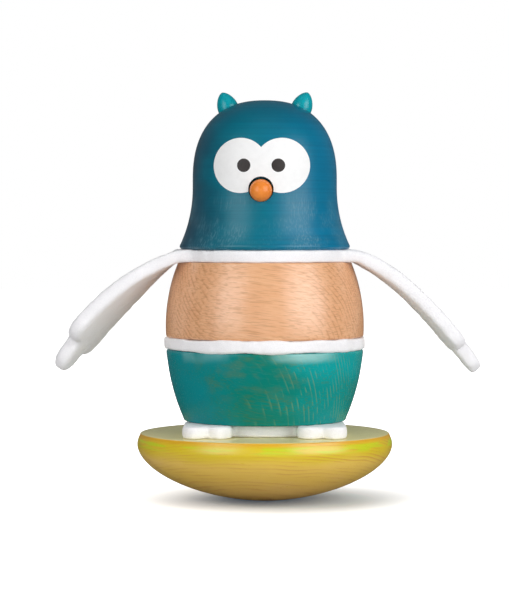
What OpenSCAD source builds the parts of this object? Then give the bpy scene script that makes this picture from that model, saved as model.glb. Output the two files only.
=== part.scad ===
// Stacking rocker toy in the shape of an owl: a domed wooden base with a spindle, on which
// felt layers and turned wooden pieces are threaded one above another, capped by the head.
// Millimetres, +Z up, origin on the floor at the middle of the base. The owl looks along -Y.

/* [Rocker base] */
// Diameter of the base at its widest
base_d = 104.6; // [90:0.2:130]
// Height of the round bottom's curve up to the widest line
base_dome_h = 23; // [18:0.1:30]
// Fullness of that curve: 2 is an ellipse, less is more like a cone
base_dome_power = 1.8; // [1.7:0.01:2.2]
// Height of the flat top above the widest line
base_rim_h = 4.8; // [3:0.1:12]
// How far the side draws in from the widest line to the top
base_rim_in = 1.6; // [0:0.1:3]
// Rounding of the edge of the flat top
base_edge_r = 0.7; // [0.3:0.1:1.5]
// Diameter of the small flat that the base rests on
rest_d = 12; // [8:0.5:30]

/* [Spindle] */
// Diameter of the spindle
spindle_d = 15; // [10:0.5:20]
// Depth of the spindle in the base
spindle_in_base = 16; // [8:0.5:18]
// Length of the spindle inside the head
spindle_in_head = 34; // [20:0.5:38]
// Rounding of the spindle's free end
spindle_nose_r = 3; // [1:0.5:4]
// Room between the end of the spindle and the bottom of the head's bore
spindle_end_gap = 2; // [1:0.5:4]
// Radial play of the wooden pieces on the spindle
wood_play = 0.75; // [0.3:0.05:1.5]
// Radial play of the felt pieces on the spindle
felt_play = 0.5; // [0.3:0.05:1.5]
// Radial gap of a glued peg in its hole
glue_gap = 0.1; // [0.05:0.05:0.3]

/* [Wooden body] */
// Diameter of the body at its widest
body_d = 81.2; // [66:0.2:100]
// Height of the lower body piece
lower_h = 29.3; // [20:0.1:40]
// Radius of the barrel curve of the lower body's side
lower_arc_r = 85; // [70:1:140]
// Height of that curve's widest line above the top of the lower body
lower_equator_h = 6; // [0:0.5:12]
// Height of the belly piece
belly_h = 30.7; // [20:0.1:40]
// Radius of the barrel curve of the belly's side
belly_arc_r = 68; // [60:1:140]
// Height of the widest line above the bottom of the belly piece
belly_equator_h = 4.5; // [0:0.5:12]
// Rounding of the edges of the turned pieces
turned_edge_r = 0.9; // [0.4:0.1:2]

/* [Felt] */
// Thickness of the felt
felt_t = 5; // [3:0.5:7]
// How far the belt stands out from the wood
belt_proud = 0.6; // [0:0.1:2]
// How far the collar lies inside the wider of its two neighbours
collar_inset = 0.2; // [0:0.1:2]

/* [Feet] */
// How far the front of the feet layer lies inside the lower body
feet_inset = 5.5; // [1:0.5:8]
// Distance from the middle of a foot to the centre line
foot_x = 22.9; // [18:0.1:28]
// Distance between the two toes of a foot
toe_pitch = 9.7; // [6:0.1:10]
// Radius of a toe
toe_r = 5.1; // [5.1:0.1:8]
// How far the toes reach past the lower body's bottom edge
toe_reach = 2.8; // [0:0.1:8]

/* [Wings] */
// Width of a wing from its front edge to its back edge
wing_chord = 34; // [24:1:46]
// Length of the middle feather from the flex line to its tip
middle_feather = 68.5; // [62:0.5:90]
// Length of the two outer feathers from the flex line to their tips
outer_feather = 56.5; // [40:0.5:60]
// Slope of both wings where they leave the collar, in degrees
wing_root_slope = 19; // [0:0.5:30]
// Slope that the left wing droops towards, in degrees
left_droop = 61; // [30:0.5:90]
// Length over which the left wing takes up its slope
left_ease = 42; // [15:0.5:80]
// Twist of the left wing that lowers its back edge, in degrees
left_twist = 14.5; // [0:0.5:25]
// Slope that the right wing droops towards, in degrees
right_droop = 58.5; // [30:0.5:90]
// Length over which the right wing takes up its slope
right_ease = 34.5; // [15:0.5:80]
// Twist of the right wing that lowers its back edge, in degrees
right_twist = 2.5; // [0:0.5:25]
// Angle that the winged felt is turned on the spindle, which brings the left wing forward
wings_turn = 3; // [-90:0.5:90]
// Distance of the flex line outside the pieces that hold the collar
flex_out = 0.6; // [0.4:0.1:2]
// Gap at the flex line where a wing bends from the collar
flex_gap = 0.3; // [0.2:0.05:0.6]

/* [Head] */
// Diameter of the head above its flare
head_d = 59; // [48:0.2:72]
// Height of the head
head_h = 60.9; // [58:0.1:75]
// Height of the dome at the top of the head
head_dome_h = 32.8; // [24:0.1:34]
// Fullness of the dome's outline: 2 is an ellipse, more is squarer
head_dome_power = 2.4; // [2:0.1:3]
// How far the side of the head flares out towards the rim
head_flare = 6.1; // [2:0.1:7]
// Radius of the flare's hollow curve
head_flare_r = 55; // [40:1:56]
// Rounding of the rim of the head
head_edge_r = 1.5; // [0.5:0.1:3]
// Angle that the head is turned to its right, in degrees
head_turn = 3; // [-90:1:90]

/* [Face] */
// Height of the eyes above the bottom of the head
eye_h = 33.8; // [30:0.1:38]
// Radius of the white round of an eye
eye_r = 11; // [8:0.1:12]
// Distance from the middle of an eye's white to the centre line
eye_x = 8.3; // [6:0.1:10]
// Radius of a pupil
pupil_r = 2.7; // [1.5:0.1:4]
// Distance from a pupil to the centre line
pupil_x = 6.9; // [5:0.1:9]
// Thickness of the printed film of the eyes
print_t = 0.3; // [0.1:0.05:0.4]
// Diameter of the beak
beak_d = 9; // [6:0.1:12]
// Height of the beak above the bottom of the head
beak_h = 24.3; // [20:0.1:27]
// How far the beak stands out from the head
beak_out = 4.4; // [3:0.1:7]
// Radial gap between the beak and the edge of its hole
beak_gap = 0.55; // [0.1:0.05:0.8]
// How far the beak sits below the middle of its hole, less than the gap
beak_sag = 0.5; // [0:0.05:0.7]
// Depth of the beak's hole
beak_depth = 9; // [5:0.5:12]

/* [Ears] */
// Diameter of an ear peg
ear_d = 8.6; // [6:0.2:12]
// Height of the ear above the head's surface
ear_out = 6.6; // [5:0.1:11]
// Distance from the ear's foot to the head's axis
ear_x = 15.1; // [10:0.1:19]
// Lean of the ear from upright, in degrees
ear_lean = 22; // [0:1:45]
// Depth of the ear's hole along its axis
ear_depth = 7; // [4:0.5:9]

/* [Hidden] */

// Colours
base_colour = "goldenrod";
beech_colour = "burlywood";
felt_colour = "whitesmoke";
teal_colour = "teal";
blue_colour = "#1b6480";
ear_colour = "#12a0a6";
beak_colour = "#f0802c";
pupil_colour = "#3a3433";

// Heights of the stack, from the floor up
base_r = base_d / 2;
rest_angle = asin(pow(rest_d / base_d, base_dome_power / 2));
widest_z = base_dome_h * pow(cos(rest_angle), 2 / base_dome_power);
base_h = widest_z + base_rim_h;
feet_z = base_h;
lower_z = feet_z + felt_t;
belt_z = lower_z + lower_h;
belly_z = belt_z + felt_t;
collar_z = belly_z + belly_h;
head_z = collar_z + felt_t;
spindle_top = head_z + spindle_in_head;

// Curves of the head's outside, by height above its rim: a hollow flare under a full dome
head_r = head_d / 2;
flare_h = sqrt(head_flare * (2 * head_flare_r - head_flare));
dome_z = head_h - head_dome_h;
function flare_r(h) =
    head_r + head_flare_r - sqrt(pow(head_flare_r, 2) - pow(max(0, flare_h - h), 2));
function dome_r(h) =
    head_r * pow(1 - pow((h - dome_z) / head_dome_h, head_dome_power), 1 / head_dome_power);
function head_outside(h) = h < dome_z ? flare_r(h) : dome_r(h);

// Radii that pieces share
wood_bore_r = spindle_d / 2 + wood_play;
felt_hole_r = spindle_d / 2 + felt_play;
head_rim_r = flare_r(head_edge_r);
belly_top_r = barrel_r(belly_h - belly_equator_h, belly_arc_r);
lower_bottom_r = barrel_r(lower_h + lower_equator_h, lower_arc_r);
belt_r = body_d / 2 + belt_proud;
collar_r = max(head_rim_r, belly_top_r) - collar_inset;
feet_r = lower_bottom_r - feet_inset;

// Flex line of the wings: the middle of the felt, just outside the pieces that hold the collar.
// The felt thins a little there, so that it bends clear of them.
flex_x = max(head_rim_r, belly_top_r) + flex_out;
flex_z = collar_z + felt_t / 2;
flex_r = felt_t / 2 - flex_gap;
root_x = flex_x - flex_r - flex_gap;

// The printed film lies this close over the head, and its curve runs this far past the eyes
print_gap = 0.04;
print_margin = 2;

// Smoothness: steps along a curve of a turned profile, and segments round a turned piece
curve_steps = 24;
edge_steps = 6;
$fn = 96;

// Radius of the body's barrel curve at a height above or below its widest line
function barrel_r(h, arc_r) = body_d / 2 - arc_r + sqrt(arc_r * arc_r - h * h);

// Points of an arc from angle a0 to angle a1
function arc(centre, r, a0, a1, steps) = [
    for (i = [0:steps])
        let (a = a0 + (a1 - a0) * i / steps)
            centre + r * [cos(a), sin(a)]
];

module turned(profile) {
    rotate_extrude() polygon(profile);
}

// Ring turned to a barrel curve, with a bore, from height h0 to h1 above the curve's widest line
module barrel_ring(h0, h1, arc_r) {
    e = turned_edge_r;
    low = h0 + e;
    high = h1 - e;
    side = [
        for (i = [1:curve_steps - 1])
            let (h = low + (high - low) * i / curve_steps)
                [barrel_r(h, arc_r), h]
    ];
    translate([0, 0, -h0])
        turned(concat(
            [[wood_bore_r, h0]],
            arc([barrel_r(low, arc_r) - e, low], e, -90, 0, edge_steps),
            side,
            arc([barrel_r(high, arc_r) - e, high], e, 0, 90, edge_steps),
            [[wood_bore_r, h1]]
        ));
}

// Flat layer of felt with a hole for the spindle, cut to the outline of its children
module felt_layer() {
    linear_extrude(felt_t)
        difference() {
            children();
            circle(r = felt_hole_r);
        }
}

// The base has a round bottom with a small flat to rest on, a rim that draws in a little,
// and a flat top with a blind hole for the spindle
module rocker_base() {
    edge_z = base_h - base_edge_r;
    power = 2 / base_dome_power;
    function rim_r(z) = base_r - base_rim_in * pow((z - widest_z) / base_rim_h, 2);
    dome = [
        for (i = [0:curve_steps])
            let (a = rest_angle + (90 - rest_angle) * i / curve_steps)
                [base_r * pow(sin(a), power), widest_z - base_dome_h * pow(cos(a), power)]
    ];
    rim = [
        for (i = [1:edge_steps - 1])
            let (z = widest_z + (edge_z - widest_z) * i / edge_steps)
                [rim_r(z), z]
    ];
    color(base_colour)
        difference() {
            turned(concat(
                [[0, 0]],
                dome,
                rim,
                arc([rim_r(edge_z) - base_edge_r, edge_z], base_edge_r, 0, 90, edge_steps),
                [[0, base_h]]
            ));
            translate([0, 0, base_h - spindle_in_base])
                cylinder(r = spindle_d / 2 + glue_gap, h = spindle_in_base + 1);
        }
}

// Dowel glued into the base, with a rounded free end
module spindle() {
    r = spindle_d / 2;
    bottom = base_h - spindle_in_base;
    color(beech_colour)
        turned(concat(
            [[0, bottom], [r, bottom]],
            arc([r - spindle_nose_r, spindle_top - spindle_nose_r], spindle_nose_r, 0, 90, edge_steps),
            [[0, spindle_top]]
        ));
}

// Felt layer with two feet of two toes each, which show in front of the lower body
module feet_felt() {
    toe_y = lower_bottom_r + toe_reach - toe_r;
    heel_y = toe_r;
    color(felt_colour)
        translate([0, 0, feet_z])
            felt_layer() {
                circle(r = feet_r);
                for (side = [-1, 1], toe = [-1, 1]) {
                    x = side * foot_x + toe * toe_pitch / 2;
                    translate([x, -toe_y]) circle(r = toe_r);
                    translate([x - toe_r, -toe_y]) square([2 * toe_r, toe_y - heel_y]);
                }
            }
}

module lower_body() {
    color(teal_colour)
        translate([0, 0, lower_z])
            barrel_ring(-lower_equator_h - lower_h, -lower_equator_h, lower_arc_r);
}

module belt_felt() {
    color(felt_colour)
        translate([0, 0, belt_z])
            felt_layer() circle(r = belt_r);
}

module belly() {
    color(beech_colour)
        translate([0, 0, belly_z])
            barrel_ring(-belly_equator_h, belly_h - belly_equator_h, belly_arc_r);
}

// Middle of the winged felt, held between the belly and the head
module wing_collar() {
    color(felt_colour)
        translate([0, 0, collar_z])
            rotate([0, 0, wings_turn])
                felt_layer() {
                    intersection() {
                        circle(r = collar_r);
                        square([2 * root_x, 3 * collar_r], center = true);
                    }
                    square([2 * root_x, wing_chord], center = true);
                }
}

// Outline of a wing's tip: three feathers with round ends, the middle one longest
feather_w = wing_chord / 3;
notch_s = outer_feather - feather_w / 2;
feather_lengths = [outer_feather, middle_feather, outer_feather];
feather_stations = [0.03, 0.12, 0.28, 0.5, 0.72, 0.88, 0.97];
notch_depth = 0.5;

// Stations across the wing, as [distance from the front edge, length of the wing there]
wing_columns = concat(
    [[0, notch_s + notch_depth]],
    [
        for (k = [0:2])
            each concat(
                [
                    for (u = feather_stations)
                        let (round_end = feather_w / 2 * (1 - sqrt(1 - pow(2 * u - 1, 2))))
                            [(k + u) * feather_w, feather_lengths[k] - round_end]
                ],
                [[(k + 1) * feather_w, notch_s + notch_depth]]
            )
    ]
);

// Rows along the wing, as [share of the way to the notches, share of the feathers, half thickness]
nose_angles = [75, 50, 25];
blade_rows = 14;
feather_rows = 5;
wing_rows = concat(
    [for (a = nose_angles) [-flex_r * sin(a) / notch_s, 0, flex_r * cos(a)]],
    [for (i = [0:blade_rows]) [i / blade_rows, 0, i == 0 ? flex_r : felt_t / 2]],
    [for (i = [1:feather_rows]) [1, i / feather_rows, felt_t / 2]]
);

// A wing's slope grows along its length, from its slope at the flex line towards its droop
function wing_slope(s, droop, ease) =
    droop - (droop - wing_root_slope) * exp(-max(0, s) / ease);

// Place on the wing's front edge at a length from the flex line, as [outwards, up]
path_step = 1;
function wing_path(s, droop, ease) =
    s <= 0 ? s * [cos(wing_root_slope), -sin(wing_root_slope)] :
    let (n = ceil(s / path_step), ds = s / n)
        [
            for (
                i = 0, p = [0, 0];
                i <= n;
                a = wing_slope((i + 0.5) * ds, droop, ease), p = p + ds * [cos(a), -sin(a)], i = i + 1
            ) p
        ][n];

// Twist grows from the flex line to the notches between the feathers, faster near the flex line
function wing_turn(s, twist) =
    let (u = max(0, min(1, s / notch_s)))
        twist * (1 - pow(1 - u, 1.5));

// Drooping sheet of felt that reaches out along +X from the flex line at the origin
module wing_sheet(droop, ease, twist) {
    nc = len(wing_columns);
    nr = len(wing_rows);
    points = [
        for (face = [1, -1], row = wing_rows, column = wing_columns)
            let (
                s = row[0] * notch_s + row[1] * (column[1] - notch_s),
                a = wing_slope(s, droop, ease),
                turn = wing_turn(s, twist),
                path = wing_path(s, droop, ease),
                up = [sin(a), 0, cos(a)],
                back = [0, 1, 0],
                across = cos(turn) * back - sin(turn) * up,
                normal = cos(turn) * up + sin(turn) * back
            )
                [path[0], -wing_chord / 2, path[1]] + column[0] * across + face * row[2] * normal
    ];
    function top(i, j) = i * nc + j;
    function under(i, j) = nr * nc + i * nc + j;
    faces = concat(
        [
            for (i = [0:nr - 2], j = [0:nc - 2])
                each [
                    [top(i, j), top(i, j + 1), top(i + 1, j + 1)],
                    [top(i, j), top(i + 1, j + 1), top(i + 1, j)],
                    [under(i, j), under(i + 1, j + 1), under(i, j + 1)],
                    [under(i, j), under(i + 1, j), under(i + 1, j + 1)]
                ]
        ],
        [
            for (i = [0:nr - 2])
                each [
                    [top(i, 0), top(i + 1, 0), under(i + 1, 0)],
                    [top(i, 0), under(i + 1, 0), under(i, 0)],
                    [top(i, nc - 1), under(i + 1, nc - 1), top(i + 1, nc - 1)],
                    [top(i, nc - 1), under(i, nc - 1), under(i + 1, nc - 1)]
                ]
        ],
        [
            for (j = [0:nc - 2])
                each [
                    [top(0, j), under(0, j), under(0, j + 1)],
                    [top(0, j), under(0, j + 1), top(0, j + 1)],
                    [top(nr - 1, j), under(nr - 1, j + 1), under(nr - 1, j)],
                    [top(nr - 1, j), top(nr - 1, j + 1), under(nr - 1, j + 1)]
                ]
        ]
    );
    polyhedron(points, faces);
}

module left_wing() {
    color(felt_colour)
        rotate([0, 0, wings_turn])
            mirror([1, 0, 0])
                translate([flex_x, 0, flex_z])
                    wing_sheet(left_droop, left_ease, left_twist);
}

module right_wing() {
    color(felt_colour)
        rotate([0, 0, wings_turn])
            translate([flex_x, 0, flex_z])
                wing_sheet(right_droop, right_ease, right_twist);
}

// Everything on the head is placed from the middle of the head's bottom and turned with it
module on_head() {
    translate([0, 0, head_z]) rotate([0, 0, -head_turn]) children();
}

// Outline of the head, from its rounded rim to the top
head_side = concat(
    arc([head_rim_r - head_edge_r, head_edge_r], head_edge_r, -90, 0, edge_steps),
    [
        for (i = [1:curve_steps])
            let (h = head_edge_r + (flare_h - head_edge_r) * i / curve_steps)
                [flare_r(h), h]
    ]
);
head_dome = [
    for (i = [0:curve_steps - 1])
        let (h = dome_z + head_dome_h * pow(sin(90 * i / curve_steps), 2 / head_dome_power))
            [dome_r(h), h]
];

// Shape of an ear's outline: how far up it stays wide, and how blunt its tip is
ear_swell = 1.7;
ear_bluntness = 0.62;

// Holes that the ears and the beak are glued into
module ear_axis(side) {
    drop = pow(1 - pow(ear_x / head_r, head_dome_power), 1 / head_dome_power);
    surface_z = dome_z + head_dome_h * drop;
    translate([side * ear_x, 0, surface_z]) rotate([0, side * ear_lean, 0]) children();
}

module beak_axis() {
    translate([0, -head_r, beak_h]) rotate([90, 0, 0]) children();
}

module head() {
    color(blue_colour)
        on_head()
            difference() {
                turned(concat(
                    [[0, 0]],
                    head_side,
                    head_dome,
                    [[0, head_h]]
                ));
                translate([0, 0, -1])
                    cylinder(r = wood_bore_r, h = spindle_in_head + spindle_end_gap + 1);
                for (side = [-1, 1])
                    ear_axis(side)
                        translate([0, 0, -ear_depth])
                            cylinder(d = ear_d + 2 * glue_gap, h = ear_depth + ear_d);
                beak_axis()
                    translate([0, 0, -beak_depth])
                        cylinder(d = beak_d + 2 * beak_gap, h = beak_depth + beak_d);
            }
}

// Round peg that draws in to a blunt tip
module ear(side) {
    r = ear_d / 2;
    point = [
        for (i = [0:2 * edge_steps])
            let (a = 90 * i / (2 * edge_steps))
                [r * pow(1 - pow(sin(a), ear_swell), ear_bluntness), ear_out * sin(a)]
    ];
    color(ear_colour)
        on_head()
            ear_axis(side)
                turned(concat([[0, -ear_depth], [r, -ear_depth]], point));
}

// Round peg with a domed end, standing in the middle of a slightly wider hole
module beak() {
    r = beak_d / 2;
    dome_start = beak_out - r;
    color(beak_colour)
        on_head()
            beak_axis()
                translate([0, -beak_sag, 0])
                    turned(concat(
                        [[0, -beak_depth], [r, -beak_depth]],
                        arc([0, dome_start], r, 0, 90, 2 * edge_steps)
                    ));
}

// Film of paint close over the head's side, where its children lie in front of it
module printed() {
    low = eye_h - eye_r - print_margin;
    high = eye_h + eye_r + print_margin;
    straight_low = max(flare_h, low + print_margin);
    straight_high = max(dome_z, straight_low) + print_margin;
    heights = concat(
        [low, (low + straight_low) / 2, straight_low],
        [for (i = [0:edge_steps]) straight_high + (high - straight_high) * i / edge_steps]
    );
    inside = [for (h = heights) [head_outside(h) + print_gap, h]];
    outside = [for (i = [len(heights) - 1:-1:0]) inside[i] + [print_t, 0]];
    on_head()
        intersection() {
            turned(concat(inside, outside));
            rotate([90, 0, 0]) linear_extrude(2 * head_r) children();
        }
}

module eye_print() {
    color(felt_colour)
        printed()
            difference() {
                for (side = [-1, 1]) translate([side * eye_x, eye_h]) circle(r = eye_r);
                for (side = [-1, 1]) translate([side * pupil_x, eye_h]) circle(r = pupil_r);
                translate([0, beak_h]) circle(d = beak_d + 2 * beak_gap);
            }
}

module pupil(side) {
    color(pupil_colour)
        printed() translate([side * pupil_x, eye_h]) circle(r = pupil_r);
}

rocker_base();
spindle();
feet_felt();
lower_body();
belt_felt();
belly();
wing_collar();
left_wing();
right_wing();
head();
ear(-1);  // left_ear
ear(1);  // right_ear
beak();
eye_print();
pupil(-1);  // left_pupil
pupil(1);  // right_pupil
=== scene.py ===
import math

import bpy
import numpy as np
from mathutils import Matrix, Vector


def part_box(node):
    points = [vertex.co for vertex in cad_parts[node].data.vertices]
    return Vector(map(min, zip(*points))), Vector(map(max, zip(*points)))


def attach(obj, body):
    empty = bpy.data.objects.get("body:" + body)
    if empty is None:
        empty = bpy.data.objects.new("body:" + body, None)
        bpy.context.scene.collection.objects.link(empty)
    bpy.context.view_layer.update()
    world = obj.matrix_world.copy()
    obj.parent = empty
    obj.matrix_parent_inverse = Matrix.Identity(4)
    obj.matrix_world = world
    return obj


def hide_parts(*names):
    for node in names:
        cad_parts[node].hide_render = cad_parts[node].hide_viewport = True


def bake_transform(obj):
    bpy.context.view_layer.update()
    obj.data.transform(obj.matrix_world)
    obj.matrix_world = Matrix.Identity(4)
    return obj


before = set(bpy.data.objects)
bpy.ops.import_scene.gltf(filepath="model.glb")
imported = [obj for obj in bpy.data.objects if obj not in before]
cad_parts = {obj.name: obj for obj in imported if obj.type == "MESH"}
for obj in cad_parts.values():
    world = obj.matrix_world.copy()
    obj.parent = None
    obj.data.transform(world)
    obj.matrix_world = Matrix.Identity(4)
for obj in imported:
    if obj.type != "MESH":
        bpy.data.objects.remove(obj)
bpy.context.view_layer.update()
mm = 0.001
print("frame loaded")


# small helpers for working as in the viewport

def dropSelection():
    if bpy.context.mode != "OBJECT":
        bpy.ops.object.mode_set(mode="OBJECT")
    bpy.ops.object.select_all(action="DESELECT")


def takeUp(obj):
    dropSelection()
    obj.select_set(True)
    bpy.context.view_layer.objects.active = obj


def finishWith(obj, kind, **settings):
    takeUp(obj)
    modifier = obj.modifiers.new(kind.lower(), kind)
    for key, value in settings.items():
        setattr(modifier, key, value)
    bpy.ops.object.modifier_apply(modifier=modifier.name)


def settle(obj, place):
    # moves a finished piece to its place and applies it, so the object stays at the origin
    takeUp(obj)
    obj.matrix_world = place
    bpy.ops.object.transform_apply(location=True, rotation=True, scale=True)


def arc(centre, radius, start, end, count):
    angles = [math.radians(start + (end - start) * k / count) for k in range(count + 1)]
    return [(centre[0] + radius * math.cos(a), centre[1] + radius * math.sin(a)) for a in angles]


def shadeSmooth(obj, angle):
    takeUp(obj)
    bpy.ops.object.shade_smooth_by_angle(angle=math.radians(angle))


lathe = dict(steps=176, weld=0.002 * mm, crease=32)


def turnOnLathe(name, outline, steps=lathe["steps"]):
    # one vertex walks along the outline, and the outline is spun round the upright axis
    dropSelection()
    bpy.ops.mesh.primitive_plane_add(size=mm)
    blank = bpy.context.object
    blank.name = name
    bpy.ops.object.mode_set(mode="EDIT")
    bpy.ops.mesh.merge(type="CENTER")
    bpy.ops.transform.translate(value=(outline[0][0], 0, outline[0][1]))
    for before, after in zip(outline, outline[1:]):
        step = (after[0] - before[0], 0, after[1] - before[1])
        bpy.ops.mesh.extrude_region_move(TRANSFORM_OT_translate={"value": step})
    bpy.ops.mesh.select_all(action="SELECT")
    bpy.ops.mesh.spin(steps=steps, angle=2 * math.pi, center=(0, 0, 0), axis=(0, 0, 1))
    bpy.ops.mesh.select_all(action="SELECT")
    bpy.ops.mesh.remove_doubles(threshold=lathe["weld"])
    bpy.ops.mesh.normals_make_consistent(inside=False)
    bpy.ops.object.mode_set(mode="OBJECT")
    shadeSmooth(blank, lathe["crease"])
    return blank


def rod(centre, direction, radius, length, vertices=96):
    dropSelection()
    turn = Vector((0, 0, 1)).rotation_difference(Vector(direction)).to_euler()
    bpy.ops.mesh.primitive_cylinder_add(
        vertices=vertices, radius=radius, depth=length, location=centre, rotation=turn)
    return bpy.context.object


def block(low, high):
    dropSelection()
    size = [b - a for a, b in zip(low, high)]
    middle = [(a + b) / 2 for a, b in zip(low, high)]
    bpy.ops.mesh.primitive_cube_add(size=1, location=middle, scale=size)
    bpy.ops.object.transform_apply(location=True, rotation=True, scale=True)
    return bpy.context.object


def combine(obj, tool, operation):
    finishWith(obj, "BOOLEAN", object=tool, operation=operation, solver="EXACT")
    bpy.data.objects.remove(tool)


def drill(obj, place, radius, depth):
    # a hole along the place's own axis, which starts as far outside as it goes in
    axis = place.to_3x3() @ Vector((0, 0, 1))
    combine(obj, rod(place.translation, axis, radius, 2 * depth), "DIFFERENCE")


# camera at the photograph's place, level with the owl's chest and looking a little down

view = dict(place=(0, -1.004, 0.1146), aim=(-0.0042, 0, 0.0818), lens=147, film=36, near=0.01)

cameraData = bpy.data.cameras.new("camera")
cameraData.lens = view["lens"]
cameraData.sensor_fit = "VERTICAL"
cameraData.sensor_height = view["film"]
cameraData.clip_start = view["near"]
camera = bpy.data.objects.new("camera", cameraData)
camera.location = view["place"]
gaze = Vector(view["aim"]) - Vector(view["place"])
camera.rotation_euler = gaze.to_track_quat("-Z", "Y").to_euler()
bpy.context.collection.objects.link(camera)
bpy.context.scene.camera = camera


# rocker: a dome to roll on, a rim that draws in, and a flat top with a hole for the spindle

rocker = dict(domeHeight=23 * mm, fullness=1.8, rimIn=1.6 * mm, edge=0.9 * mm, rest=6 * mm,
              hole=7.6 * mm, holeDepth=16 * mm, domeSteps=48, rimSteps=10, edgeSteps=6)


def makeRocker():
    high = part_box("rocker_base")[1]
    radius, top = high[0], high[2]
    power = 2 / rocker["fullness"]
    restAngle = math.asin((rocker["rest"] / radius) ** (1 / power))
    widest = rocker["domeHeight"] * math.cos(restAngle) ** power
    edge = rocker["edge"]
    outline = [(0, 0)]
    for k in range(rocker["domeSteps"] + 1):
        a = restAngle + (math.pi / 2 - restAngle) * k / rocker["domeSteps"]
        outline.append((radius * math.sin(a) ** power,
                        widest - rocker["domeHeight"] * max(0, math.cos(a)) ** power))
    for k in range(1, rocker["rimSteps"]):
        share = k / rocker["rimSteps"] * (1 - edge / (top - widest))
        outline.append((radius - rocker["rimIn"] * share ** 2, widest + (top - widest) * share))
    rim = radius - rocker["rimIn"] * (1 - edge / (top - widest)) ** 2
    outline += arc((rim - edge, top - edge), edge, 0, 90, rocker["edgeSteps"])
    hole, holeEnd = rocker["hole"], top - rocker["holeDepth"]
    outline += [(hole, top), (hole, holeEnd), (0, holeEnd)]
    return turnOnLathe("rockerBase", outline)


# two barrel rings and the head: the outline first, then the lathe

body = dict(radius=40.6 * mm, bore=8.25 * mm, edge=1.0 * mm, edgeSteps=6, sideSteps=40)
lowerRing = dict(curve=85 * mm, widestAboveTop=6 * mm)
bellyRing = dict(curve=68 * mm, widestAboveBottom=4.5 * mm)


def makeBarrel(name, node, curve, widest):
    low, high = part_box(node)[0][2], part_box(node)[1][2]
    edge = body["edge"]

    def side(z):
        return body["radius"] - curve + math.sqrt(curve ** 2 - (z - widest) ** 2)

    bottom, top = low + edge, high - edge
    outline = [(body["bore"], low)]
    outline += arc((side(bottom) - edge, bottom), edge, -90, 0, body["edgeSteps"])
    outline += [(side(z), z) for z in np.linspace(bottom, top, body["sideSteps"])[1:-1]]
    outline += arc((side(top) - edge, top), edge, 0, 90, body["edgeSteps"])
    outline += [(body["bore"], high), (body["bore"], low)]
    return turnOnLathe(name, outline)


head = dict(radius=29.5 * mm, height=60.9 * mm, dome=32.8 * mm, fullness=2.4, flare=6.1 * mm,
            flareCurve=55 * mm, edge=1.5 * mm, bore=8.25 * mm, boreDepth=36 * mm, turn=-3,
            edgeSteps=8, flareSteps=34, domeSteps=40, latheSteps=192)
headPlace = (Matrix.Translation((0, 0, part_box("head")[0][2]))
             @ Matrix.Rotation(math.radians(head["turn"]), 4, "Z"))
flareTop = math.sqrt(head["flare"] * (2 * head["flareCurve"] - head["flare"]))
domeStart = head["height"] - head["dome"]


def headSide(h):
    # radius of the head at a height above its rim
    if h < domeStart:
        reach = max(0, flareTop - h)
        return head["radius"] + head["flareCurve"] - math.sqrt(head["flareCurve"] ** 2 - reach ** 2)
    share = min(1, (h - domeStart) / head["dome"])
    return head["radius"] * (1 - share ** head["fullness"]) ** (1 / head["fullness"])


ear = dict(radius=4.3 * mm, out=6.6 * mm, depth=7 * mm, gap=0.1 * mm, x=15.1 * mm, lean=22,
           swell=1.7, bluntness=0.62, tipSteps=24, latheSteps=64)
beak = dict(radius=4.5 * mm, out=4.4 * mm, depth=9 * mm, gap=0.55 * mm, height=24.3 * mm, sag=0.5 * mm,
            tipSteps=20, latheSteps=72)


def earPlace(side):
    drop = (1 - (ear["x"] / head["radius"]) ** head["fullness"]) ** (1 / head["fullness"])
    foot = Matrix.Translation((side * ear["x"], 0, domeStart + head["dome"] * drop))
    return headPlace @ foot @ Matrix.Rotation(math.radians(side * ear["lean"]), 4, "Y")


beakPlace = (headPlace @ Matrix.Translation((0, -head["radius"], beak["height"]))
             @ Matrix.Rotation(math.radians(90), 4, "X"))


def makeHead():
    edge = head["edge"]
    outline = [(head["bore"], 0)]
    outline += arc((headSide(edge) - edge, edge), edge, -90, 0, head["edgeSteps"])
    outline += [(headSide(h), h) for h in np.linspace(edge, domeStart, head["flareSteps"])[1:]]
    for k in range(1, head["domeSteps"]):
        rise = math.sin(math.pi / 2 * k / head["domeSteps"]) ** (2 / head["fullness"])
        h = domeStart + head["dome"] * rise
        outline.append((headSide(h), h))
    outline += [(0, head["height"])]
    outline = [(0, head["boreDepth"]), (head["bore"], head["boreDepth"])] + outline
    made = turnOnLathe("headBell", outline, head["latheSteps"])
    settle(made, headPlace)
    for side in (-1, 1):
        drill(made, earPlace(side), ear["radius"] + ear["gap"], ear["depth"])
    drill(made, beakPlace, beak["radius"] + beak["gap"], beak["depth"])
    shadeSmooth(made, lathe["crease"])
    return made


def makeEar(side):
    outline = [(0, -ear["depth"]), (ear["radius"], -ear["depth"])]
    for k in range(ear["tipSteps"] + 1):
        rise = math.sin(math.pi / 2 * k / ear["tipSteps"])
        width = (1 - rise ** ear["swell"]) ** ear["bluntness"]
        outline.append((ear["radius"] * width, ear["out"] * rise))
    made = turnOnLathe("leftEarPeg" if side < 0 else "rightEarPeg", outline, ear["latheSteps"])
    settle(made, earPlace(side))
    return made


def makeBeak():
    outline = [(0, -beak["depth"]), (beak["radius"], -beak["depth"])]
    outline += arc((0, beak["out"] - beak["radius"]), beak["radius"], 0, 90, beak["tipSteps"])
    made = turnOnLathe("beakPeg", outline, beak["latheSteps"])
    settle(made, beakPlace @ Matrix.Translation((0, -beak["sag"], 0)))
    return made


# printed face: a thin skin of the head's own curve, cut to the two rounds of the eyes

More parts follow.
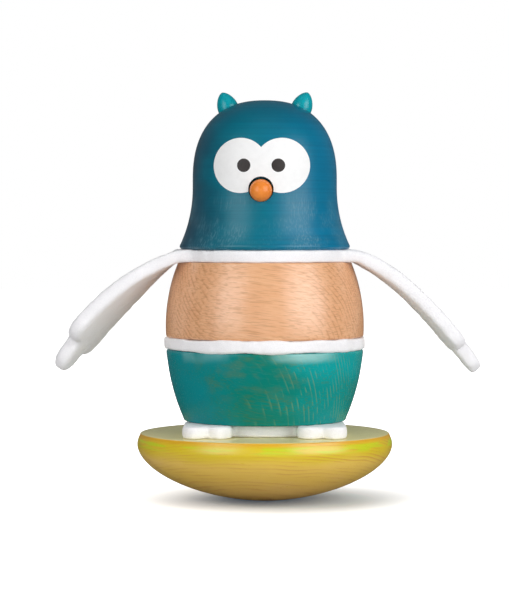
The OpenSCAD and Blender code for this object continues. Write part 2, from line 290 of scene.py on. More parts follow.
face = dict(height=33.8 * mm, eye=11.0 * mm, eyeX=8.3 * mm, pupil=2.7 * mm, pupilX=6.9 * mm,
            gap=0.03 * mm, thick=0.1 * mm, margin=1 * mm, skinSteps=48, latheSteps=240,
            cutterIn=6 * mm, cutterLength=26 * mm, cutterSides=160)


def headSkin(name):
    reach = face["eye"] + face["margin"]
    heights = np.linspace(face["height"] - reach, face["height"] + reach, face["skinSteps"])
    inner = [(headSide(h) + face["gap"], h) for h in heights]
    outer = [(r + face["thick"], h) for r, h in reversed(inner)]
    skin = turnOnLathe(name, inner + outer + inner[:1], face["latheSteps"])
    settle(skin, headPlace)
    return skin


def faceCutter(x, height, radius):
    middle = headPlace @ Vector((x, -head["radius"] + face["cutterIn"], height))
    forward = headPlace.to_3x3() @ Vector((0, -1, 0))
    return rod(middle, forward, radius, face["cutterLength"], face["cutterSides"])


def makeEyes():
    cut = faceCutter(-face["eyeX"], face["height"], face["eye"])
    combine(cut, faceCutter(face["eyeX"], face["height"], face["eye"]), "UNION")
    for side in (-1, 1):
        combine(cut, faceCutter(side * face["pupilX"], face["height"], face["pupil"]), "DIFFERENCE")
    combine(cut, faceCutter(0, beak["height"], beak["radius"] + beak["gap"]), "DIFFERENCE")
    film = headSkin("eyePrint")
    combine(film, cut, "INTERSECT")
    shadeSmooth(film, lathe["crease"])
    return film


def makePupil(side):
    film = headSkin("leftPupil" if side < 0 else "rightPupil")
    combine(film, faceCutter(side * face["pupilX"], face["height"], face["pupil"]), "INTERSECT")
    shadeSmooth(film, lathe["crease"])
    return film


# felt: blanks cut from thick sheet, fused, with the cut edges softened and a fuzzy surface

felt = dict(voxel=0.6 * mm, hole=8 * mm, punch=20 * mm, ease=0.5, crease=60,
            lump=4 * mm, lumpHeight=0.4 * mm, fuzz=1.5 * mm, fuzzHeight=0.2 * mm)


def fuseFelt(name, blanks, middle, soften):
    made = blanks[0]
    takeUp(made)
    for blank in blanks[1:]:
        blank.select_set(True)
    if len(blanks) > 1:
        bpy.ops.object.join()
    made.name = name
    takeUp(made)
    bpy.ops.object.transform_apply(location=True, rotation=True, scale=True)
    finishWith(made, "REMESH", mode="VOXEL", voxel_size=felt["voxel"])
    combine(made, rod((0, 0, middle), (0, 0, 1), felt["hole"], felt["punch"]), "DIFFERENCE")
    finishWith(made, "REMESH", mode="VOXEL", voxel_size=felt["voxel"])
    finishWith(made, "SMOOTH", factor=felt["ease"], iterations=soften)
    return made


def unevenFelt(made, name, size, height):
    grain = bpy.data.textures.get(name) or bpy.data.textures.new(name, "CLOUDS")
    grain.noise_scale = size
    grain.noise_depth = 1
    finishWith(made, "DISPLACE", texture=grain, texture_coords="LOCAL", strength=height,
               mid_level=0.5)


def roughenFelt(made):
    unevenFelt(made, "feltLumps", felt["lump"], felt["lumpHeight"])
    unevenFelt(made, "feltFuzz", felt["fuzz"], felt["fuzzHeight"])
    shadeSmooth(made, felt["crease"])


feet = dict(disc=27.4 * mm, toeX=22.9 * mm, toePitch=9.7 * mm, toe=5.1 * mm, toeY=-30.6 * mm,
            heelY=-5.1 * mm, soften=26)


def makeFeet():
    low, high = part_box("feet_felt")
    middle, thick = (low[2] + high[2]) / 2, high[2] - low[2]
    blanks = [rod((0, 0, middle), (0, 0, 1), feet["disc"], thick)]
    for side in (-1, 1):
        for toe in (-1, 1):
            x = side * feet["toeX"] + toe * feet["toePitch"] / 2
            blanks.append(rod((x, feet["toeY"], middle), (0, 0, 1), feet["toe"], thick))
            blanks.append(block((x - feet["toe"], feet["toeY"], low[2]),
                                (x + feet["toe"], feet["heelY"], high[2])))
    made = fuseFelt("feetFelt", blanks, middle, feet["soften"])
    roughenFelt(made)
    return made


belt = dict(wave=11 * mm, waveHeight=1.4 * mm, sides=192, soften=8)


def makeBelt():
    low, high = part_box("belt_felt")
    middle = (low[2] + high[2]) / 2
    disc = rod((0, 0, middle), (0, 0, 1), high[0], high[2] - low[2], belt["sides"])
    made = fuseFelt("beltFelt", [disc], middle, belt["soften"])
    unevenFelt(made, "feltWaves", belt["wave"], belt["waveHeight"])
    roughenFelt(made)
    return made


# winged felt: one flat blank with three feathers at each end, drooped beside the head

wings = dict(chord=34 * mm, middle=68.5 * mm, outer=56.5 * mm, collar=35.15 * mm, flex=35.95 * mm,
             bendStart=-2.5 * mm, turn=3, soften=8, softFrom=28 * mm, softSteps=90,
             root=2 * mm, rootLap=1 * mm, rootGrow=0.3 * mm, neckEnd=16 * mm, bladeStart=14 * mm,
             neckShare=0.45, spare=6 * mm, fine=0.25 * mm, collarSides=160, tipSides=48)
# for each wing: its slope and twist in degrees, how soft it is and from where, the felt added
# all round because softening takes it off again, the swell of each face towards the feathers,
# and how much longer each feather is than the pattern, from the front one to the back one
droop = {
    -1: dict(root=17, slope=81, ease=71 * mm, bendEnd=1 * mm, twist=14.8, twistEase=2.3, soft=1.0,
             softAt=42 * mm, grow=2.0 * mm, swell=0.8 * mm, swellAt=34 * mm,
             longer=(-3.0 * mm, -0.9 * mm, 1.2 * mm)),
    1: dict(root=19.3, slope=56.4, ease=29.3 * mm, bendEnd=3.2 * mm, twist=0.7, twistEase=1.5, soft=0.4,
            softAt=10 * mm, grow=1.3 * mm, swell=0.45 * mm, swellAt=8 * mm,
            longer=(0.6 * mm, 1.5 * mm, 2.6 * mm)),
}
wingsTurn = Matrix.Rotation(math.radians(wings["turn"]), 4, "Z")


def wingBlank(middle, thick):
    feather = wings["chord"] / 3
    half = feather / 2
    notch = wings["flex"] + wings["outer"] - half
    root = wings["flex"] + wings["root"]
    blanks = [rod((0, 0, middle), (0, 0, 1), wings["collar"], thick, wings["collarSides"])]
    for side, rule in droop.items():
        for k, length in enumerate((wings["outer"], wings["middle"], wings["outer"])):
            y = (k - 1) * feather
            tip = wings["flex"] + length + rule["longer"][k] - half
            spans = ((0, root + wings["rootLap"], wings["rootGrow"]),
                     (root, root + wings["neckEnd"], wings["neckShare"] * rule["grow"]),
                     (root + wings["bladeStart"], tip, rule["grow"]))
            for start, end, more in spans:
                ends = sorted((side * start, side * end))
                blanks.append(block((ends[0], y - half - more, middle - thick / 2),
                                    (ends[1], y + half + more, middle + thick / 2)))
            blanks.append(rod((side * tip, y, middle), (0, 0, 1), half + rule["grow"], thick,
                              wings["tipSides"]))
    return blanks, notch - wings["flex"]


def droopWing(points, side, middle, thick, notch):
    # the felt leaves the collar level, takes up its slope and twists on its way to the feathers
    rule = droop[side]
    start, end = wings["bendStart"], rule["bendEnd"]
    s = np.arange(start, wings["middle"] + wings["spare"], wings["fine"])
    level = np.clip((s - start) / (end - start), 0, 1)
    level = level * level * (3 - 2 * level)
    full = rule["slope"] - (rule["slope"] - rule["root"]) * np.exp(-np.maximum(0, s) / rule["ease"])
    slope = np.radians(full * level)
    share = np.clip(s / notch, 0, 1)
    twist = np.radians(rule["twist"]) * (1 - (1 - share) ** rule["twistEase"])
    plump = 1 + 2 * rule["swell"] / thick * np.clip(s / rule["swellAt"], 0, 1)
    step = s[1] - s[0]
    out = start + np.concatenate([[0], np.cumsum(np.cos(slope[:-1]) * step)])
    down = np.concatenate([[0], np.cumsum(np.sin(slope[:-1]) * step)])
    along = side * points[:, 0] - wings["flex"]
    on = along > start
    at = along[on]
    a, t = np.interp(at, s, slope), np.interp(at, s, twist)
    up = np.stack([side * np.sin(a), np.zeros_like(a), np.cos(a)], 1)
    back = np.array([[0.0, 1.0, 0.0]])
    across = np.cos(t)[:, None] * back - np.sin(t)[:, None] * up
    normal = np.cos(t)[:, None] * up + np.sin(t)[:, None] * back
    front = np.stack([side * (wings["flex"] + np.interp(at, s, out)),
                      np.full_like(a, -wings["chord"] / 2),
                      middle - np.interp(at, s, down)], 1)
    width = points[on, 1:2] + wings["chord"] / 2
    height = (points[on, 2:3] - middle) * np.interp(at, s, plump)[:, None]
    points[on] = front + width * across + height * normal


def makeWings():
    low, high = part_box("wing_collar")
    middle, thick = (low[2] + high[2]) / 2, high[2] - low[2]
    blanks, notch = wingBlank(middle, thick)
    whole = fuseFelt("wingFelt", blanks, middle, wings["soften"])
    outside = whole.vertex_groups.new(name="wings")
    for vertex in whole.data.vertices:
        rule = droop[1 if vertex.co.x > 0 else -1]
        share = min(1, max(0, (abs(vertex.co.x) - wings["softFrom"]) / rule["softAt"]))
        outside.add([vertex.index], share * share * rule["soft"], "REPLACE")
    finishWith(whole, "SMOOTH", factor=felt["ease"], iterations=wings["softSteps"], vertex_group="wings")
    whole.vertex_groups.clear()
    points = np.empty(len(whole.data.vertices) * 3)
    whole.data.vertices.foreach_get("co", points)
    points = points.reshape(-1, 3)
    for side in (-1, 1):
        droopWing(points, side, middle, thick, notch)
    whole.data.vertices.foreach_set("co", points.ravel())
    whole.data.update()
    roughenFelt(whole)
    halves = {}
    for side, name in ((-1, "leftWingFelt"), (1, "rightWingFelt")):
        half = whole.copy()
        half.data = whole.data.copy()
        half.name = name
        bpy.context.collection.objects.link(half)
        takeUp(half)
        bpy.ops.object.mode_set(mode="EDIT")
        bpy.ops.mesh.select_all(action="SELECT")
        bpy.ops.mesh.bisect(plane_co=(0, 0, 0), plane_no=(1, 0, 0), use_fill=True,
                            clear_inner=side > 0, clear_outer=side < 0)
        bpy.ops.object.mode_set(mode="OBJECT")
        settle(half, wingsTurn)
        shadeSmooth(half, felt["crease"])
        halves[side] = half
    bpy.data.objects.remove(whole)
    return halves


pieces = {}
pieces["rocker"] = makeRocker()
pieces["lower"] = makeBarrel("lowerBody", "lower_body", lowerRing["curve"],
                             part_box("lower_body")[1][2] + lowerRing["widestAboveTop"])
pieces["belly"] = makeBarrel("bellyRing", "belly", bellyRing["curve"],
                             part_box("belly")[0][2] + bellyRing["widestAboveBottom"])
print("rocker and rings turned")
pieces["head"] = makeHead()
pieces["leftEar"], pieces["rightEar"] = makeEar(-1), makeEar(1)
pieces["beak"] = makeBeak()
print("head turned and drilled, ears and beak in place")
pieces["eyes"] = makeEyes()
pieces["leftPupil"], pieces["rightPupil"] = makePupil(-1), makePupil(1)
print("face printed")
pieces["feet"] = makeFeet()
pieces["belt"] = makeBelt()
halves = makeWings()
pieces["leftWing"], pieces["rightWing"] = halves[-1], halves[1]
print("felt cut and drooped")


# finishes

class Wire:
    # an output socket that can stand in a sum: each step of the sum adds its own node
    def __init__(self, socket):
        self.socket = socket
        self.tree = socket.id_data

    def node(self, kind, settings=None, values=None, output=0):
        made = self.tree.nodes.new(kind)
        for key, value in (settings or {}).items():
            setattr(made, key, value)
        for key, value in (values or {}).items():
            self.plug(made.inputs[key], value)
        return Wire(made.outputs[output])

    def plug(self, entry, value):
        if isinstance(value, Wire):
            self.tree.links.new(value.socket, entry)
        else:
            entry.default_value = value

    def maths(self, operation, first, second):
        return self.node("ShaderNodeMath", {"operation": operation}, {0: first, 1: second})

    def __add__(self, other):
        return self.maths("ADD", self, other)

    def __radd__(self, other):
        return self.maths("ADD", other, self)

    def __sub__(self, other):
        return self.maths("SUBTRACT", self, other)

    def __rsub__(self, other):
        return self.maths("SUBTRACT", other, self)

    def __mul__(self, other):
        return self.maths("MULTIPLY", self, other)

    def __rmul__(self, other):
        return self.maths("MULTIPLY", other, self)


def paint(code):
    # colour from its web code, in linear light
    parts = [int(code[k:k + 2], 16) / 255 for k in (1, 3, 5)]
    return tuple(c / 12.92 if c <= 0.04045 else ((c + 0.055) / 1.055) ** 2.4 for c in parts) + (1,)


def newFinish(name):
    material = bpy.data.materials.new(name)
    material.use_nodes = True
    nodes = material.node_tree.nodes
    place = Wire(nodes.new("ShaderNodeTexCoord").outputs["Object"])
    return material, nodes["Principled BSDF"].inputs, place


def noise(place, size, turn=(0, 0, 0), detail=2, roughness=0.5, shift=(0, 0, 0)):
    # size is the length of a feature in millimetres, along each axis of the turned block
    angles = [math.radians(a) for a in turn]
    lengths = [a * mm for a in size]
    spot = place.node("ShaderNodeMapping", {"vector_type": "TEXTURE"},
                      {"Vector": place, "Location": shift, "Rotation": angles, "Scale": lengths})
    return place.node("ShaderNodeTexNoise", None,
                      {"Vector": spot, "Scale": 1, "Detail": detail, "Roughness": roughness})


def between(value, low, high):
    return value.node("ShaderNodeMapRange", {"interpolation_type": "SMOOTHSTEP"},
                      {"Value": value, "From Min": low, "From Max": high})


def mix(factor, first, second):
    return factor.node("ShaderNodeMix", {"data_type": "RGBA"},
                       {0: factor, 6: first, 7: second}, output=2)


def bump(height, distance, strength):
    return height.node("ShaderNodeBump", None,
                       {"Height": height, "Distance": distance, "Strength": strength})


def growthLines(place, width, across, waver, wander):
    # edges of the growth rings: parallel sheets through the block that wander a little,
    # with their width and wander in millimetres
    depth = place.node("ShaderNodeVectorMath", {"operation": "DOT_PRODUCT"},
                       {0: place, 1: Vector(across).normalized()}, output=1)
    phase = depth * (1 / (width * mm)) + noise(place, wander, detail=1.5) * waver
    return phase.maths("FRACT", phase, 0)


# in these finishes the sizes of patterns, rings and their wander are in millimetres
beech = dict(pale="#f8c599", deep="#e29c66", pore="#b06a36", late="#c07842", gloss=1.0, coat=0.25,
             coatRoughness=0.28, lean=(0, 6, 0), cloudSize=(40, 14, 12), grainSize=(9, 2.6, 0.8),
             fibreSize=(12, 1.6, 0.36), poreSize=(8, 1.7, 0.42), breakSize=(2.5, 2.5, 9),
             ring=1.8, across=(0.1, 2.1, 1), leftRing=1.5, leftAcross=(0.1, 1.3, -1), wander=(40, 9, 18))


def beechFinish():
    material, shader, place = newFinish("beech")
    lean = beech["lean"]
    side = place.node("ShaderNodeSeparateXYZ", None, {"Vector": place})
    cloud = noise(place, beech["cloudSize"], lean, detail=1)
    grain = noise(place, beech["grainSize"], lean, detail=2)
    fibre = noise(place, beech["fibreSize"], lean, detail=2)
    pores = between(noise(place, beech["poreSize"], lean, detail=1), 0.53, 0.64)
    ring = growthLines(place, beech["ring"], beech["across"], 1.6, beech["wander"])
    broken = between(noise(place, beech["breakSize"], detail=2), 0.36, 0.58)
    late = between(ring, 0.55, 1.0) * broken * (0.12 + 0.5 * between(side, 0.012, 0.03))
    leftRing = growthLines(place, beech["leftRing"], beech["leftAcross"], 1.2, beech["wander"])
    late = late + between(leftRing, 0.45, 1.0) * broken * (0.6 - 0.6 * between(side, -0.03, -0.012))
    tone = 0.3 * cloud + 0.7 * grain + 0.6 * fibre - 0.37
    colour = mix(tone, paint(beech["pale"]), paint(beech["deep"]))
    colour = mix(late, colour, paint(beech["late"]))
    colour = mix(pores * 0.34, colour, paint(beech["pore"]))
    place.plug(shader["Base Color"], colour)
    place.plug(shader["Roughness"], 0.22 + 0.16 * fibre + 0.1 * pores)
    place.plug(shader["Normal"], bump(fibre + 0.5 * grain - 0.4 * pores, 0.05 * mm, 0.5))
    shader["Specular IOR Level"].default_value = beech["gloss"]
    shader["Coat Weight"].default_value = beech["coat"]
    shader["Coat Roughness"].default_value = beech["coatRoughness"]
    return material


# the brightest cyan among these colours is painted light for the ring's lamp-lit upper right
teal = dict(blue="#008c94", green="#008073", bright="#009896", streak="#8ca060", speck="#4a7448",
            mottle="#5a7a58", wearAndSheenTint="#a4d6d2", lit="#00aeb2", top=61.8 * mm, gloss=0.2, lean=(0, 8, 0),
            cloudSize=(15, 15, 10), breakSize=(4, 4, 7), poreSize=(5, 0.7, 0.55), mottleSize=(8, 8, 4),
            fibreSize=(5, 0.4, 0.35), wearAndSheenSize=(16, 16, 30), ring=1.6, across=(1, 2, 1),
            wander=(30, 12, 30))


def tealFinish():
    material, shader, place = newFinish("tealStain")
    lean = teal["lean"]
    side = place.node("ShaderNodeSeparateXYZ", None, {"Vector": place})
    height = Wire(side.socket.node.outputs["Z"])
    cloud = noise(place, teal["cloudSize"], detail=2)
    shade = side + 0.03 * (cloud - 0.5)
    ring = growthLines(place, teal["ring"], teal["across"], 0.5, teal["wander"])
    broken = between(noise(place, teal["breakSize"], detail=2), 0.42, 0.6)
    streak = between(ring, 0.66, 0.98) * broken * between(shade, -0.012, 0.016)
    pores = between(noise(place, teal["poreSize"], lean, detail=1), 0.5, 0.63)
    speck = pores * between(cloud, 0.36, 0.56) * (0.35 + 0.5 * between(shade, -0.024, 0.0))
    mottle = between(noise(place, teal["mottleSize"], lean, detail=3), 0.46, 0.66)
    mottle = mottle * between(shade, -0.03, -0.014) * (1 - between(shade, 0.006, 0.022))
    mottle = mottle * (0.15 + 0.85 * between(height, teal["top"] - 25 * mm, teal["top"] - 12 * mm))
    fibre = noise(place, teal["fibreSize"], lean, detail=2)
    # pale band just under the top edge: partly edge wear, partly a painted sheen highlight of the right-hand
    # lamp, so it is stronger on the right
    wearAndSheen = between(height + 0.004 * (cloud - 0.5), teal["top"] - 5 * mm, teal["top"] - 1.5 * mm)
    wearAndSheen = wearAndSheen * between(noise(place, teal["wearAndSheenSize"], detail=2), 0.4, 0.6)
    wearAndSheen = wearAndSheen * (1 - between(height, teal["top"] - 0.3 * mm, teal["top"] - 0.05 * mm))
    wearAndSheen = wearAndSheen * (1 - between(side, 0.02, 0.032))
    # painted light: a brighter cyan patch on the upper right of the ring, where the right-hand lamp falls
    lit = between(height, teal["top"] - 15 * mm, teal["top"] - 6 * mm) * between(shade, 0.004, 0.02)
    colour = mix(between(shade, -0.032, 0.0), paint(teal["blue"]), paint(teal["green"]))
    colour = mix(between(shade, -0.004, 0.03), colour, paint(teal["bright"]))
    colour = mix(0.6 * lit, colour, paint(teal["lit"]))
    colour = mix(0.14 * (fibre - 0.3), colour, paint(teal["speck"]))
    colour = mix(mottle * (0.16 + 0.4 * fibre), colour, paint(teal["mottle"]))
    colour = mix(speck * 0.48, colour, paint(teal["speck"]))
    colour = mix(streak * 0.42, colour, paint(teal["streak"]))
    # mixes in the pale tint as edge wear and painted sheen highlight
    colour = mix(wearAndSheen * (0.25 + 0.5 * between(side, 0.0, 0.015)), colour, paint(teal["wearAndSheenTint"]))
    place.plug(shader["Base Color"], colour)
    place.plug(shader["Roughness"], 0.16 + 0.18 * fibre)
    place.plug(shader["Normal"], bump(fibre - 0.6 * pores, 0.05 * mm, 0.5))
    shader["Specular IOR Level"].default_value = teal["gloss"]
    return material


blue = dict(paintedShadeSlate="#1d4a5e", green="#007488", bright="#00779e", deep="#00526c", wearAndSheenTint="#7fb2bf",
            rim=102.5 * mm, gloss=0.38, scuffLean=(0, 7, 0), markSize=(80, 80, 0.7),
            cloudSize=(18, 18, 14), wearSize=(9, 9, 11), scuffSize=(0.55, 0.55, 5))


def blueFinish():
    material, shader, place = newFinish("blueStain")
    side = place.node("ShaderNodeSeparateXYZ", None, {"Vector": place})
    height = Wire(side.socket.node.outputs["Z"])
    marks = noise(place, blue["markSize"], detail=2)
    cloud = noise(place, blue["cloudSize"], detail=2)
    wear = noise(place, blue["wearSize"], detail=2)
    scuff = noise(place, blue["scuffSize"], blue["scuffLean"], detail=2)
    shade = side + 0.022 * (cloud - 0.5)
    # painted shade: the left side of the head goes to a darker, greyer slate, the side away from the
    # brighter lamp
    colour = mix(between(shade, -0.034, -0.01), paint(blue["paintedShadeSlate"]), paint(blue["green"]))
    colour = mix(between(shade, -0.012, 0.03), colour, paint(blue["bright"]))
    colour = mix(0.3 * wear + 0.7 * (marks - 0.45), colour, paint(blue["deep"]))
    # pale scuffs low on the head, weaker down its middle: partly wear, partly painted sheen highlights where
    # the lamps mirror in the flare
    wearAndSheen = between(wear, 0.36, 0.62) * (0.2 + 0.8 * between(scuff, 0.46, 0.66)) * (0.3 + 1.2 * marks)
    # painted shade: the top of the dome is darkened towards deep blue
    paintedTopShade = between(height, blue["rim"] + 44 * mm, blue["rim"] + 60 * mm)
    colour = mix(0.45 * paintedTopShade, colour, paint(blue["deep"]))
    low = 1 - between(height, blue["rim"] + 14 * mm, blue["rim"] + 26 * mm)
    low = low * (0.3 + 0.7 * between(side * side, 4 * mm ** 2, 80 * mm ** 2))
    # mixes in the pale tint as wear and painted sheen highlight
    colour = mix(0.28 * wearAndSheen * low, colour, paint(blue["wearAndSheenTint"]))
    place.plug(shader["Base Color"], colour)
    place.plug(shader["Roughness"], 0.18 + 0.12 * marks + 0.2 * scuff)
    place.plug(shader["Normal"], bump(marks + 0.7 * scuff, 0.06 * mm, 0.6))
    shader["Specular IOR Level"].default_value = blue["gloss"]
    return material


yellow = dict(ochre="#fdd564", pale="#fed680", bright="#e8cb28", lime="#cde01c", line="#d8923a",
              arris="#eda224", top="#f2e8a6", topAt=27.54 * mm, gloss=0.8, lean=(0, 2, 0),
              driftSize=(28, 28, 6), breakSize=(18, 18, 2.5), patchSize=(15, 15, 1.9),
              patchShift=(4 * mm, 0, 0), fibreSize=(6, 0.5, 0.4), ring=1.25,
              across=(0.02, 0.16, 1), wander=(30, 30, 9))


def yellowFinish():
    material, shader, place = newFinish("yellowStain")
    lean = yellow["lean"]
    side = place.node("ShaderNodeSeparateXYZ", None, {"Vector": place})
    below = yellow["topAt"] - Wire(side.socket.node.outputs["Z"])
    strong = between(side, 0.0, 0.03) * (1 - between(below, 7 * mm, 13 * mm))
    drift = noise(place, yellow["driftSize"], lean, detail=2)
    ring = growthLines(place, yellow["ring"], yellow["across"], 2.8, yellow["wander"])
    broken = between(noise(place, yellow["breakSize"], lean, detail=1), 0.32, 0.66)
    patch = noise(place, yellow["patchSize"], lean, detail=1, shift=yellow["patchShift"])
    patch = between(patch, 0.46, 0.64)
    fibre = noise(place, yellow["fibreSize"], lean, detail=2)
    colour = mix(between(drift, 0.46, 0.86), paint(yellow["ochre"]), paint(yellow["pale"]))
    upper = 1 - between(below + 0.006 * (drift - 0.5), 4 * mm, 11 * mm)
    colour = mix(upper, colour, paint(yellow["bright"]))
    # painted light: the bottom of the dome is lightened towards the pale tint, standing in for light thrown
    # up from the floor
    colour = mix(0.9 * between(below, 14 * mm, 25 * mm), colour, paint(yellow["pale"]))
    lines = between(ring, 0.5, 1.0) * broken * (0.42 + 0.4 * strong)
    colour = mix(lines + 0.3 * (fibre - 0.5), colour, paint(yellow["line"]))
    band = between(below, 1.1 * mm, 2.2 * mm) * (1 - between(below, 3.6 * mm, 5.6 * mm))
    lime = (0.06 + 0.88 * patch) * band
    colour = mix(0.8 * lime, colour, paint(yellow["lime"]))
    colour = mix(0.6 * (1 - between(below, 0.5 * mm, 2.4 * mm)), colour, paint(yellow["arris"]))
    # painted reflection: the flat top takes a pale, greyed colour for the white felt and surroundings it
    # mirrors at a grazing angle
    colour = mix(1 - between(below, 0.05 * mm, 0.3 * mm), colour, paint(yellow["top"]))
    place.plug(shader["Base Color"], colour)
    place.plug(shader["Roughness"], 0.22 + 0.18 * fibre)
    place.plug(shader["Normal"], bump(fibre, 0.05 * mm, 0.6))
    shader["Specular IOR Level"].default_value = yellow["gloss"]
    return material


earStain = dict(deep="#0093a0", bright="#00a8b4", roughness=0.22, cloudSize=(7, 7, 7))
beakPaint = dict(deep="#ea7a24", bright="#fc9c44", roughness=0.24, cloudSize=(7, 7, 7))


def pegFinish(name, coat):
    material, shader, place = newFinish(name)
    cloud = noise(place, coat["cloudSize"], detail=1)
    place.plug(shader["Base Color"], mix(cloud, paint(coat["deep"]), paint(coat["bright"])))
    place.plug(shader["Roughness"], coat["roughness"] + 0.1 * cloud)
    return material


eyeInk = dict(deep="#f0f0f0", bright="#fbfbfb", roughness=0.45, cloudSize=(2, 2, 2))
pupilInk = dict(deep="#272120", bright="#352e2c", roughness=0.45, cloudSize=(2, 2, 2))


def printFinish(name, ink):
    material, shader, place = newFinish(name)
    cloud = noise(place, ink["cloudSize"], detail=3)
    place.plug(shader["Base Color"], mix(cloud, paint(ink["deep"]), paint(ink["bright"])))
    place.plug(shader["Roughness"], ink["roughness"] + 0.1 * cloud)
    place.plug(shader["Normal"], bump(cloud, 0.02 * mm, 0.3))
    return material


wool = dict(deep="#f2f1f5", pale="#fdfcfe", roughness=0.95, gloss=0.1, sheen=0.2, sheenRoughness=0.6,
            tangle=(0.5, 0.5, 0.5), strand=(1.6, 0.2, 0.2), strandTurn=(20, 30, 50),
            cross=(0.2, 1.6, 0.2), crossTurn=(40, -20, 15))


def feltFinish():
    material, shader, place = newFinish("whiteFelt")
    tangle = noise(place, wool["tangle"], detail=4, roughness=0.7)
    strand = noise(place, wool["strand"], wool["strandTurn"], detail=2)
    cross = noise(place, wool["cross"], wool["crossTurn"], detail=2)
    pile = 0.5 * tangle + 0.25 * strand + 0.25 * cross
    colour = mix(between(pile, 0.35, 0.6), paint(wool["deep"]), paint(wool["pale"]))
    place.plug(shader["Base Color"], colour)
    place.plug(shader["Normal"], bump(pile, 0.25 * mm, 0.35))
    shader["Roughness"].default_value = wool["roughness"]
    shader["Specular IOR Level"].default_value = wool["gloss"]
    shader["Sheen Weight"].default_value = wool["sheen"]
    shader["Sheen Roughness"].default_value = wool["sheenRoughness"]
    return material


finishes = {
    "beech": beechFinish(),
    "teal": tealFinish(),
    "blue": blueFinish(),
    "yellow": yellowFinish(),
    "turquoise": pegFinish("turquoiseStain", earStain),
    "orange": pegFinish("orangePaint", beakPaint),
    "whitePrint": printFinish("whitePrint", eyeInk),
    "darkPrint": printFinish("darkPrint", pupilInk),
    "felt": feltFinish(),
}
print("finishes mixed")


def put(piece, finish, slot, *nodes):
    piece.data.materials.clear()
    piece.data.materials.append(finishes[finish])
    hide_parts(*nodes)


put(pieces["rocker"], "yellow", "yellow_stain", "rocker_base")
put(pieces["lower"], "teal", "teal_stain", "lower_body")
put(pieces["belly"], "beech", "beech", "belly")
put(pieces["head"], "blue", "blue_stain", "head")
put(pieces["leftEar"], "turquoise", "turquoise_stain", "left_ear")
put(pieces["rightEar"], "turquoise", "turquoise_stain", "right_ear")
put(pieces["beak"], "orange", "orange_stain", "beak")
put(pieces["eyes"], "whitePrint", "white_print", "eye_print")
put(pieces["leftPupil"], "darkPrint", "dark_print", "left_pupil")
put(pieces["rightPupil"], "darkPrint", "dark_print", "right_pupil")
put(pieces["feet"], "felt", "felt", "feet_felt")
put(pieces["belt"], "felt", "felt", "belt_felt")
put(pieces["leftWing"], "felt", "felt", "left_wing", "wing_collar")
put(pieces["rightWing"], "felt", "felt", "right_wing")
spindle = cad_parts["spindle"]
spindle.data.materials.clear()
spindle.data.materials.append(finishes["beech"])

riders = dict(rocker="rocker", lower="lower_body", belly="belly", feet="feet", belt="belt", head="head",
              leftEar="head", rightEar="head", beak="head", eyes="head", leftPupil="head", rightPupil="head")
for piece, bodyName in riders.items():
    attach(pieces[piece], bodyName)
for side, piece, bodyName in ((-1, "leftWing", "left_wing"), (1, "rightWing", "right_wing")):
    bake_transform(pieces[piece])
print("pieces ride on their bodies")


# plain pale floor and soft studio light

studio = dict(ambient=0.17, mirroredFront=0.03, mirroredBack=0.14)
softboxes = (
    dict(name="rightBox", azimuth=50, reach=0.95, height=0.4, size=(0.8, 0.78), tilt=8, power=6.1,
         mirrored=True),
    dict(name="leftBox", azimuth=-41, reach=0.95, height=0.4, size=(0.56, 0.78), tilt=8, power=3.4,
         mirrored=True),
    dict(name="topBox", azimuth=10, reach=0.2, height=1.2, size=(0.9, 0.9), tilt=80, power=2.1,
         mirrored=False),
    dict(name="frontFill", azimuth=0, reach=1.3, height=0.12, size=(0.6, 0.2), tilt=2, power=2.5,
         mirrored=False),
    dict(name="backBox", azimuth=180, reach=1.0, height=0.4, size=(0.9, 0.7), tilt=8, power=5.0,
         mirrored=False),
)
# the floor's colours: as it is seen close to the toy and further out, as it lights the toy,
# and as the toy's gloss mirrors it, with the glow that keeps it white outside the shadow
# the dim glow close to the toy, round a point a little to its right, paints the pool and reach of its
# shadow, and the bluish near colour paints the shadow's cool tint
ground = dict(size=6.0, centre=(0.010, 0, 0), near=(0.78, 0.89, 1, 1), far=(0.9, 0.9, 0.9, 1),
              lighting=(0.6, 0.6, 0.6, 1), mirrored=(0.1, 0.1, 0.1, 1), roughness=0.9,
              paintedShadowGlow=(0.04, 0.052, 0.07, 1), glowFar=(1, 1, 1, 1), colourReach=(0.02, 0.06),
              paintedShadowReach=(0.02, 0.085))


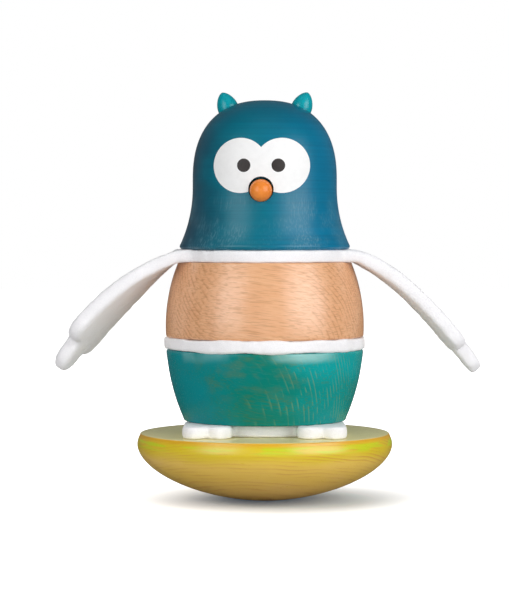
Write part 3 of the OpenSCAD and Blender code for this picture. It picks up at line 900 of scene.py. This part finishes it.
def makeFloor():
    # white to the camera, pale to the light it passes on, and dark in the toy's satin gloss
    dropSelection()
    bpy.ops.mesh.primitive_plane_add(size=ground["size"])
    floor = bpy.context.object
    floor.name = "floor"
    material, shader, place = newFinish("paleFloor")
    seen = place.node("ShaderNodeLightPath")
    glossy = Wire(seen.socket.node.outputs["Is Glossy Ray"])
    spot = place.node("ShaderNodeVectorMath", {"operation": "SUBTRACT"}, {0: place, 1: ground["centre"]})
    reach = place.node("ShaderNodeVectorMath", {"operation": "LENGTH"}, {0: spot}, output=1)
    # painted shadow tint: the floor close to the toy is seen bluish
    shown = mix(between(reach, *ground["colourReach"]), ground["near"], ground["far"])
    pale = mix(seen, ground["lighting"], shown)
    place.plug(shader["Base Color"], mix(glossy, pale, ground["mirrored"]))
    shader["Roughness"].default_value = ground["roughness"]
    shader["Specular IOR Level"].default_value = 0
    shader["Emission Strength"].default_value = 1
    # painted shadow: the glow is dim close to the toy and full further out
    glow = mix(between(reach, *ground["paintedShadowReach"]), ground["paintedShadowGlow"], ground["glowFar"])
    place.plug(shader["Emission Color"], mix(seen, (0, 0, 0, 1), glow))
    floor.data.materials.append(material)


def makeWorld():
    # white to the camera and in the gloss from behind, dim from the front
    world = bpy.data.worlds.new("studio")
    world.use_nodes = True
    bpy.context.scene.world = world
    nodes = world.node_tree.nodes
    backdrop = nodes["Background"].inputs
    path = nodes.new("ShaderNodeLightPath").outputs
    seen, glossy = Wire(path["Is Camera Ray"]), Wire(path["Is Glossy Ray"])
    direction = Wire(nodes.new("ShaderNodeTexCoord").outputs["Generated"])
    away = seen.node("ShaderNodeSeparateXYZ", None, {"Vector": direction}, output=1)
    behind = between(away, 0.1, 0.6)
    ambient, front, back = studio["ambient"], studio["mirroredFront"], studio["mirroredBack"]
    backdrop["Color"].default_value = (1, 1, 1, 1)
    mirrored = front - ambient + (back - front) * behind
    seen.plug(backdrop["Strength"], ambient + (1 - ambient) * seen + mirrored * glossy)


def makeSoftbox(box):
    lamp = bpy.data.lights.new(box["name"], "AREA")
    lamp.shape = "RECTANGLE"
    lamp.size, lamp.size_y = box["size"]
    lamp.energy = box["power"]
    stand = bpy.data.objects.new(box["name"], lamp)
    azimuth = math.radians(box["azimuth"])
    stand.location = (box["reach"] * math.sin(azimuth), -box["reach"] * math.cos(azimuth),
                      box["height"])
    stand.rotation_euler = (math.radians(90 - box["tilt"]), 0, azimuth)
    stand.visible_glossy = box["mirrored"]
    bpy.context.collection.objects.link(stand)


makeFloor()
makeWorld()
for box in softboxes:
    makeSoftbox(box)
bpy.context.scene.view_settings.view_transform = "Standard"
print("studio lit")
